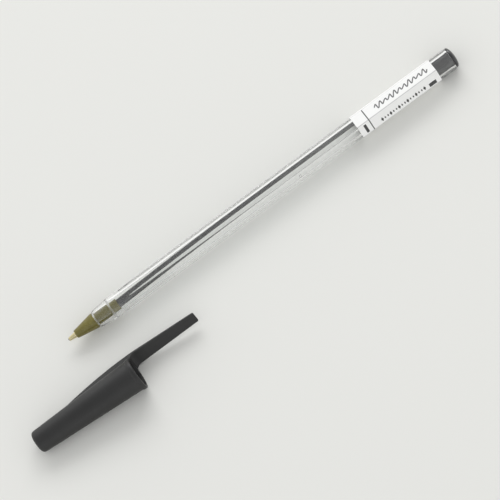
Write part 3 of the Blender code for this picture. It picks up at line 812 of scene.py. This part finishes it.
def make_holder(material):
    """Nose cone, shank and tail, with the point's pocket, the ink duct and the tube's socket inside."""
    front = HOLDER_LOW.x
    cone_end = BARREL_LOW.x - SEAT_GAP
    shank_end = BARREL_LOW.x + SHANK_LENGTH
    tail_end = HOLDER_HIGH.x
    socket = TUBE_RADIUS + FIT_GAP
    socket_floor = TUBE_LOW.x - SEAT_GAP
    cone_front = POCKET_RADIUS + CONE_LIP
    pocket_end = POINT_HIGH.x + SEAT_GAP
    outline = rounded([
        (front + 1.0 * MM, POCKET_RADIUS, 0.0), (front, POCKET_RADIUS, 0.05 * MM),
        (front, cone_front, 0.35 * MM), (cone_end, CONE_BASE_RADIUS, 0.12 * MM),
        (cone_end, SHANK_RADIUS, 0.0), (shank_end, SHANK_RADIUS, 0.03 * MM), (shank_end, TAIL_RADIUS, 0.0),
        (tail_end, TAIL_RADIUS, TAIL_CHAMFER), (tail_end, socket, 0.05 * MM), (socket_floor, socket, 0.0),
        (socket_floor, HOLDER_DUCT_RADIUS, 0.05 * MM), (pocket_end, HOLDER_DUCT_RADIUS, 0.0),
        (pocket_end, POCKET_RADIUS, 0.0), (front + 1.2 * MM, POCKET_RADIUS, 0.0)])
    holder = turned(outline, HOLDER_SIDES)
    keep("nose_cone_holder", holder, material, "olive_gold_plastic", 30.0, "tip_holder")


def make_point(material):
    """Brass point: crimped lip round the ball, cone, collar, shank, and the ink duct inside."""
    ball = BALL_LOW.x + BALL_RADIUS
    lip = sqrt(SOCKET_RADIUS ** 2 - BALL_GRIP ** 2)
    lip_front = ball - BALL_GRIP
    lip_out = lip + LIP_WALL
    collar = HOLDER_LOW.x - POINT_COLLAR
    rear = POINT_HIGH.x
    first = asin(POINT_DUCT_RADIUS / SOCKET_RADIUS)
    last = acos(-BALL_GRIP / SOCKET_RADIUS)
    outline = []
    for step in range(SOCKET_STEPS + 1):
        turn = first + (last - first) * step / SOCKET_STEPS
        outline.append(Vector((ball + SOCKET_RADIUS * cos(turn), SOCKET_RADIUS * sin(turn))))
    outline += rounded([
        (lip_front, lip, 0.0), (lip_front, lip_out, 0.03 * MM),
        (ball + LIP_LENGTH, lip_out + LIP_FLARE, 0.1 * MM), (collar, POINT_RADIUS, 0.08 * MM),
        (rear - POINT_CHAMFER, POINT_RADIUS, 0.03 * MM), (rear, POINT_RADIUS - POINT_CHAMFER, 0.03 * MM),
        (rear, POINT_DUCT_RADIUS, 0.0)])[1:]
    keep("brass_point", turned(outline, POINT_SIDES), material, "brass", 30.0, "point")


def make_ball(material):
    """The rolling ball: a cube with rounded-out faces, so that it has no poles."""
    shape = bmesh.new()
    bmesh.ops.create_cube(shape, size=1.0)
    bmesh.ops.subdivide_edges(shape, edges=shape.edges[:], cuts=BALL_CUTS, use_grid_fill=True)
    centre = Vector((BALL_LOW.x + BALL_RADIUS, 0.0, AXIS_HEIGHT))
    for vert in shape.verts:
        spread = Vector([tan(value * pi / 2) for value in vert.co])
        vert.co = centre + spread.normalized() * BALL_RADIUS
    keep("rolling_ball", shape, material, "hard_metal", 60.0, "writing_ball", "ball")


def make_plug(material):
    """Cored spigot, conical neck for the countersunk mouth, and a domed flange."""
    spigot = BORE_DIAMETER / 2 - FIT_GAP
    neck = MOUTH_DIAMETER / 2 - FIT_GAP
    core = spigot - PLUG_WALL
    front = PLUG_LOW.x
    rear = BARREL_HIGH.x
    core_end = front + PLUG_CORE_DEPTH
    rim = rear + FLANGE_RIM
    rise = PLUG_HIGH.x - rim
    outline = rounded([
        (core_end, 0.0, 0.0), (core_end - core / 2, core, 0.1 * MM), (front, core, 0.08 * MM),
        (front, spigot - PLUG_LEAD_IN / 2, 0.08 * MM), (front + PLUG_LEAD_IN, spigot, 0.3 * MM),
        (rear - MOUTH_DEPTH, spigot, 0.5 * MM), (rear, neck, 0.05 * MM), (rear + SEAT_GAP, neck, 0.0),
        (rear + SEAT_GAP, PLUG_RADIUS, 0.12 * MM), (rim, PLUG_RADIUS, 0.0)])
    outline += [(rim + rise * sin(turn), PLUG_RADIUS * cos(turn)) for turn in quarter(DOME_ROWS)]
    plug = turned(outline, PLUG_SIDES, closed=False)
    keep("rear_plug", plug, material, "black_plug", 32.0, "end_plug")


def facet_turns(first, last):
    """Angles round the barrel between two angles, crowded towards the rounded edges."""
    turns = []
    for column in range(-6 * FACET_COLUMNS, 12 * FACET_COLUMNS):
        facet, step = divmod(column, FACET_COLUMNS)
        side = 2 * step / FACET_COLUMNS - 1
        local = (side + EDGE_CROWDING * sin(pi * side) / pi) * HALF_FACET
        turns.append((facet + 0.5) * 2 * HALF_FACET + local)
    return [first] + [turn for turn in turns if first < turn < last] + [last]


def hex_spot(turn, offset):
    """Point (y, z) on the barrel's section, moved outwards by offset."""
    half = BARREL_FLATS / 2 + offset
    edge = BARREL_EDGE + offset
    from_normal = abs((turn % (2 * HALF_FACET)) - HALF_FACET)
    radius = half / cos(from_normal)
    if half * tan(from_normal) > (half - edge) * tan(HALF_FACET):
        to_corner = HALF_FACET - from_normal
        centre = (half - edge) / cos(HALF_FACET)
        radius = centre * cos(to_corner) + sqrt(edge ** 2 - (centre * sin(to_corner)) ** 2)
    return radius * cos(turn), AXIS_HEIGHT + radius * sin(turn)


def add_sheet(shape, front, rear, first, last, inner, outer):
    """Add a thin sheet bent round the barrel between two stations and two angles."""
    turns = facet_turns(first, last)
    half = len(turns)
    rows = []
    for along in (front, rear):
        row = [shape.verts.new((along, *hex_spot(turn, outer))) for turn in turns]
        row += [shape.verts.new((along, *hex_spot(turn, inner))) for turn in reversed(turns)]
        rows.append(row)
    skin_rows(shape, rows)
    for row in rows:
        skin(shape, row[:half], row[:half - 1:-1], closed=False)


def make_label(material):
    first = radians(-60) + LABEL_END
    last = radians(240) - LABEL_END
    shape = bmesh.new()
    add_sheet(shape, LABEL_LOW.x, LABEL_HIGH.x, first, last, LABEL_OUTER - LABEL_THICKNESS, LABEL_OUTER)
    keep("sticker", shape, material, "white_sticker", 30.0, "label")


def make_bars(material):
    shape = bmesh.new()
    for front, width, first, last in PRINTED_BARS:
        add_sheet(shape, front * MM, (front + width) * MM, radians(first), radians(last),
                  LABEL_OUTER, LABEL_OUTER + PRINT_THICKNESS)
    keep("printed_bars", shape, material, "black_ink", 30.0)


def on_facet(tree, size, geometry):
    """Lay flat print on a facet of the sticker, turned about the pen's axis, and finish its tree."""
    lift = spot(tree, X=size["Station"], Y=size["Rise"], Z=size["Lift"])
    lifted = lay(tree, "Transform", {"Geometry": geometry, "Translation": lift})
    laid = lay(tree, "Transform", {
        "Geometry": lifted, "Rotation": spot(tree, X=size["Facet Turn"]),
        "Translation": spot(tree, Z=size["Axis Height"])})
    return end_tree(tree, laid, size["Material"])


def wave_tree(sizes):
    """One long pen stroke: leaning waves that swell and shrink along the line."""
    tree, size = shape_tree("printed_wave", sizes)
    line = lay(tree, "CurvePrimitiveLine")
    path = lay(tree, "ResampleCurve", {"Curve": line, "Count": size["Points"]})
    share = lay(tree, "SplineParameter")
    phase = share * size["Turns"] * tau
    wave = phase.to("SINE")
    swell = (phase * WAVE_SWELL_PACE).to("SINE") * WAVE_SWELL + (1.0 - WAVE_SWELL)
    place = spot(tree, X=share * size["Length"] + size["Lean"] * wave, Y=swell * size["Height"] * wave)
    stroke = lay(tree, "SetPosition", {"Geometry": path, "Position": place})
    level = lay(tree, "SetCurveNormal", {"Curve": stroke}, mode="Z_UP")
    nib = lay(tree, "CurvePrimitiveQuadrilateral", {"Width": size["Stroke"], "Height": size["Film"]})
    ribbon = lay(tree, "CurveToMesh", {"Curve": level, "Profile Curve": nib, "Fill Caps": True})
    return on_facet(tree, size, ribbon)


def make_wave(material):
    mesh = grow(wave_tree, WAVE_SIZES, material)
    keep_mesh("printed_wave", mesh, material, "black_ink", 30.0)


def lozenge_tree(sizes):
    """A row of equal lozenges, every third one larger."""
    tree, size = shape_tree("printed_lozenges", sizes)
    row = lay(tree, "MeshLine", {"Count": size["Count"], "Offset": spot(tree, X=size["Pitch"])})
    lozenge = lay(tree, "MeshCylinder", {
        "Vertices": 4, "Radius": size["Width"] * 0.5, "Depth": size["Film"]})
    third = lay(tree, "InputIndex").to("MODULO", 3.0).to("COMPARE", 0.0, 0.1)
    across = third * LOZENGE_EXTRA + LOZENGE_SMALL
    scale = spot(tree, X=across, Y=across * LOZENGE_TALL, Z=1.0)
    marks = lay(tree, "InstanceOnPoints", {"Points": row, "Instance": lozenge, "Scale": scale})
    return on_facet(tree, size, marks)


def make_lozenges(material):
    mesh = grow(lozenge_tree, LOZENGE_SIZES, material)
    keep_mesh("printed_lozenges", mesh, material, "black_ink", 30.0)


def cap_frame():
    """The cap's own frame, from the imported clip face: its normal, its middle and the cap's yaw."""
    clip = -Vector(CLIP_MOUNT["axis"])
    level = Vector((cos(CAP_YAW), sin(CAP_YAW), 0.0))
    along = Vector((level.x, level.y, -level.dot(clip) / clip.z)).normalized()
    turn = Matrix((along, clip.cross(along), clip)).transposed()
    middle = Vector((CAP_LENGTH + CLIP_OVERHANG / 2, 0.0, CLIP_INNER))
    return Matrix.Translation(Vector(CLIP_MOUNT["pos_m"]) - turn @ middle) @ turn.to_4x4()


def cap_radius(along):
    return CAP_END_RADIUS + (CAP_MOUTH_RADIUS - CAP_END_RADIUS) * along / CAP_LENGTH


def tongue_share(along):
    """How far along the tongue a place is, from the gusset's end to the tip."""
    return max(0.0, along - CAP_LENGTH - CLIP_GUSSET) / (CLIP_OVERHANG - CLIP_GUSSET)


def clip_top(along):
    """Height of the clip's outer face: rising out of the cap's wall, level, then thinning to the tip."""
    root = sqrt(cap_radius(CLIP_START) ** 2 - (CLIP_ROOT_WIDTH / 2) ** 2) - CLIP_EDGE
    share = min((along - CLIP_START) / (CLIP_RAMP - CAP_LIP_ROUND), 1.0)
    if share < 0.0:
        return root + (CLIP_OUTER - root) * CLIP_RAMP_EASE * share
    rise = root + (CLIP_OUTER - root) * (1 - (1 - share) ** CLIP_RAMP_EASE)
    return rise - (CLIP_THICKNESS - CLIP_TIP_THICKNESS) * tongue_share(along)


def clip_half_width(along):
    if along < CAP_LENGTH:
        share = max(0.0, (along - CLIP_START) / CLIP_RAMP)
        return (CLIP_ROOT_WIDTH + (CLIP_WIDTH - CLIP_ROOT_WIDTH) * share) / 2
    return (CLIP_WIDTH + (CLIP_TIP_WIDTH - CLIP_WIDTH) * tongue_share(along)) / 2


def soft_cap_radius(wall, top, half, angle):
    """Radius of the cap's wall joined to the clip's strip, with a soft edge and a soft fillet."""
    if cos(angle) <= 0.0:
        return wall
    up = cos(angle) / top
    side = abs(sin(angle)) / half
    strip = 1.0 / (up ** CLIP_CORNER_SHARPNESS + side ** CLIP_CORNER_SHARPNESS) ** (1 / CLIP_CORNER_SHARPNESS)
    if wall == 0.0:
        return strip
    return wall * (1 + (strip / wall) ** CLIP_FILLET_SHARPNESS) ** (1 / CLIP_FILLET_SHARPNESS)


def strip_angles(half, low, top):
    """Angles of the clip's columns, from one foot over its outer face to the other."""
    foot = atan2(half, low)
    edge = min(atan2(half, max(top, low)), foot * CLIP_EDGE_LIMIT)
    angles = []
    for step in range(SIDE_COLUMNS):
        share = (1 - cos(pi * step / SIDE_COLUMNS)) / 2
        angles.append(foot + (edge - foot) * share)
    for step in range(TOP_COLUMNS + 1):
        share = step / TOP_COLUMNS
        eased = sin(pi / 2 * share) ** 2
        angles.append(edge * (1 - COLUMN_CROWDING * eased - (1 - COLUMN_CROWDING) * share))
    return angles + [-angle for angle in reversed(angles[:-1])]


def ring_angles(half, low, top):
    """Angles of all columns round the cap: the clip's strip from foot to foot, then the wall."""
    angles = strip_angles(half, low, top)
    foot = angles[0]
    for step in range(1, 2 * WALL_COLUMNS):
        share = step / (2 * WALL_COLUMNS)
        crowd = share - COLUMN_CROWDING * sin(tau * share) / tau
        angles.append(-foot - (tau - 2 * foot) * crowd)
    return angles


def corner_inset(distance, radius):
    """How far a rounded corner stands back, at a distance from the corner along the other side."""
    if radius <= 0.0 or distance >= radius:
        return 0.0
    return radius - sqrt(radius ** 2 - (radius - max(distance, 0.0)) ** 2)


def cap_point(shape, along, out, angle):
    """A point at a distance from the cap's axis; its angle starts at the clip."""
    return shape.verts.new((along, out * sin(angle), out * cos(angle)))


def cap_wall_rows(shape, outline):
    """Rows of points round the outside of the cap, from the vent's inner edge to the mouth."""
    rows = []
    for along, out in outline:
        half = clip_half_width(along)
        top = clip_top(along)
        wall = cap_radius(along) if along < CAP_LENGTH - CAP_LIP_LENGTH else out
        angles = ring_angles(half, sqrt(wall ** 2 - half ** 2), top)
        rows.append([cap_point(shape, along, soft_cap_radius(out, top, half, angle), angle)
                     for angle in angles])
    return rows


def clip_rows(shape):
    """Rows of the clip's tongue beyond the mouth, each as its outer points and its inner points."""
    tip = CAP_LENGTH + CLIP_OVERHANG
    gusset_end = CAP_LENGTH + CLIP_GUSSET
    straight = tip - CLIP_TIP_ROUND - gusset_end
    stops = [(CAP_LENGTH + CLIP_GUSSET * (1 - cos(turn)), sin(turn)) for turn in quarter(GUSSET_ROWS)]
    stops += [(gusset_end + straight * step / TONGUE_ROWS, 1.0) for step in range(1, TONGUE_ROWS + 1)]
    stops += [(tip - CLIP_TIP_ROUND * (1 - sin(turn)), 1.0) for turn in quarter(TIP_ROWS)]
    rows = []
    for along, share in stops:
        left = tip - along
        half = clip_half_width(along) - corner_inset(left, CLIP_TIP_ROUND)
        top = clip_top(along) - corner_inset(left, CLIP_EDGE)
        edge = CLIP_EDGE * share
        low = CLIP_INNER + corner_inset(left, CLIP_EDGE)
        side_low = sqrt(CAP_RIM_RADIUS ** 2 - half ** 2) * (1 - share) + low * share
        outer = []
        for angle in strip_angles(half, side_low, top):
            radius = soft_cap_radius(0.0, top, half, angle)
            across = radius * sin(angle)
            height = radius * cos(angle)
            across -= copysign(corner_inset(height - side_low, edge), across)
            outer.append(shape.verts.new((along, across, height)))
        inner = [outer[0]]
        for step in range(1, STRIP_COUNT - 1):
            across = (half - edge) * (1 - 2 * step / (STRIP_COUNT - 1))
            bowed = sqrt(CAP_RIM_RADIUS ** 2 - across ** 2)
            inner.append(shape.verts.new((along, across, bowed * (1 - share) + low * share)))
        rows.append((outer, inner + [outer[-1]]))
    return rows


def cap_bore_rows(shape, outline, mouth_angles):
    """Rows of points in the bore, from the mouth to the floor; their angles go over to an even ring."""
    root = CLIP_ROOT_WIDTH / 2
    end_angles = ring_angles(root, sqrt(CAP_END_RADIUS ** 2 - root ** 2), 0.0)
    return [[cap_point(shape, along, out, near + (far - near) * (1 - along / CAP_LENGTH))
             for near, far in zip(mouth_angles, end_angles)] for along, out in outline]


def make_cap(material):
    """One closed moulding: tapered wall, lip, clip with its fairing and gusset, bore and vent."""
    vent = CAP_VENT_RADIUS
    lip_start = CAP_LENGTH - CAP_LIP_LENGTH
    crest = CAP_LENGTH - CAP_LIP_LENGTH * 2 / 3
    floor = cap_radius(CAP_END_WALL) - CAP_WALL
    outside = rounded([
        (CAP_END_WALL, vent, 0.0), (0.0, vent, CAP_HOLE_EDGE), (0.0, CAP_END_RADIUS, CAP_END_ROUND),
        (lip_start, cap_radius(lip_start), CAP_LIP_FOOT), (crest, CAP_LIP_RADIUS, CAP_LIP_CREST),
        (CAP_LENGTH, CAP_LIP_RADIUS, CAP_LIP_ROUND),
        (CAP_LENGTH, CAP_BORE_RADIUS, 0.0)], CAP_CORNER_STEPS)[:-1]
    in_barrel_shade = rounded([
        (CAP_LENGTH, CAP_RIM_RADIUS, 0.0), (CAP_LENGTH, CAP_BORE_RADIUS, CAP_HOLE_EDGE),
        (CAP_END_WALL, floor, CAP_FLOOR_ROUND), (CAP_END_WALL, vent, 0.0)])[1:-1]
    shape = bmesh.new()
    rows = cap_wall_rows(shape, dense(outside, CAP_ROW))
    skin_rows(shape, rows)

    half = clip_half_width(CAP_LENGTH)
    foot = asin(half / CAP_RIM_RADIUS)
    angles = [foot * (1 - 2 * step / (STRIP_COUNT - 1)) for step in range(STRIP_COUNT)]
    low = sqrt(CAP_RIM_RADIUS ** 2 - half ** 2)
    angles += ring_angles(half, low, clip_top(CAP_LENGTH))[STRIP_COUNT:]
    mouth = rows[-1][:]
    for index in range(1, STRIP_COUNT - 1):
        mouth[index] = cap_point(shape, CAP_LENGTH, CAP_RIM_RADIUS, angles[index])

    tongue = [(rows[-1][:STRIP_COUNT], mouth[:STRIP_COUNT])] + clip_rows(shape)
    for face in zip(*tongue):
        skin_rows(shape, face, closed=False)
    skin(shape, *tongue[-1], closed=False)
    skin_rows(shape, [mouth] + cap_bore_rows(shape, dense(in_barrel_shade, CAP_BORE_ROW), angles) + [rows[0]])
    shape.transform(cap_frame())
    keep("moulded_cap", shape, material, "black_cap", 40.0, "cap", "cap")


def build_pieces():
    make_barrel(clear_styrene())
    make_tube(milky_tube())
    make_ink(black_ink())
    make_holder(olive_gold_plastic())
    make_point(brass())
    make_ball(hard_metal())
    make_plug(black_plug())
    make_label(white_sticker())
    black = print_ink("black_print", (0.03, 0.03, 0.03), (0.07, 0.07, 0.07))
    make_bars(black)
    make_lozenges(black)
    make_wave(print_ink("grey_print", (0.09, 0.09, 0.095), (0.16, 0.16, 0.165)))
    make_cap(black_cap())


def lay_floor():
    """A pale floor with a faint mottle, much larger than the view."""
    finish = Finish("pale_floor", 1.5, 120.0, Specular_IOR_Level=0.1)
    dim = tuple(value * FLOOR_MOTTLE for value in FLOOR_COLOUR)
    mesh = bpy.data.meshes.new("floor")
    reach = FLOOR_SIZE / 2
    corners = ((-reach, -reach), (reach, -reach), (reach, reach), (-reach, reach))
    mesh.from_pydata([(*corner, FLOOR_HEIGHT) for corner in corners], [], [(0, 1, 2, 3)])
    mesh.materials.append(finish.wear(finish.patchy(dim, FLOOR_COLOUR), FLOOR_ROUGHNESS))
    floor = put("floor", mesh)


def direction(azimuth, elevation):
    """Direction from the pen to a camera or lamp; azimuth runs from +X towards +Y, behind the pen."""
    level = cos(elevation)
    return Vector((level * cos(azimuth), level * sin(azimuth), sin(elevation)))


def hang_softbox():
    """A soft rectangle of light that looks at the pen."""
    lamp = bpy.data.lights.new("softbox", "AREA")
    lamp.shape = "RECTANGLE"
    lamp.size = SOFTBOX_WIDTH
    lamp.size_y = SOFTBOX_HEIGHT
    lamp.energy = SOFTBOX_POWER
    aim = direction(SOFTBOX_AZIMUTH, SOFTBOX_ELEVATION)
    box = put("softbox", lamp)
    box.location = aim * SOFTBOX_DISTANCE
    box.rotation_euler = aim.to_track_quat("Z", "Y").to_euler()
    box.visible_transmission = False    # seen through the clear barrel, it would only make grain


def light_studio():
    """Soft fill from the whole room, brightest at the height of the table, and a soft box behind the pen."""
    world = bpy.data.worlds.new("studio")
    world.use_nodes = True
    SCENE.world = world
    tree = world.node_tree
    fill = tree.nodes["Background"]
    fill.inputs["Color"].default_value = (*FILL_COLOUR, 1.0)
    height = parts(tree, lay(tree, "TexCoord", output="Generated"))[2]
    level = lay(tree, "MapRange", {"Value": height, "To Min": FILL_LEVEL, "To Max": FILL_OVERHEAD})
    feed(tree, fill.inputs["Strength"], level)
    hang_softbox()


def aim_camera():
    """The camera looks at its target and is rolled about its view."""
    lens = bpy.data.cameras.new("camera")
    lens.lens = LENS
    lens.clip_start = NEAREST
    camera = put("camera", lens)
    back = direction(VIEW_AZIMUTH, VIEW_ELEVATION)
    turn = Matrix.Rotation(VIEW_ROLL, 3, back) @ back.to_track_quat("Z", "Y").to_matrix()
    camera.matrix_world = Matrix.Translation(VIEW_TARGET + back * VIEW_DISTANCE) @ turn.to_4x4()
    SCENE.camera = camera


build_pieces()
lay_floor()
light_studio()
aim_camera()
SCENE.view_settings.view_transform = "Standard"
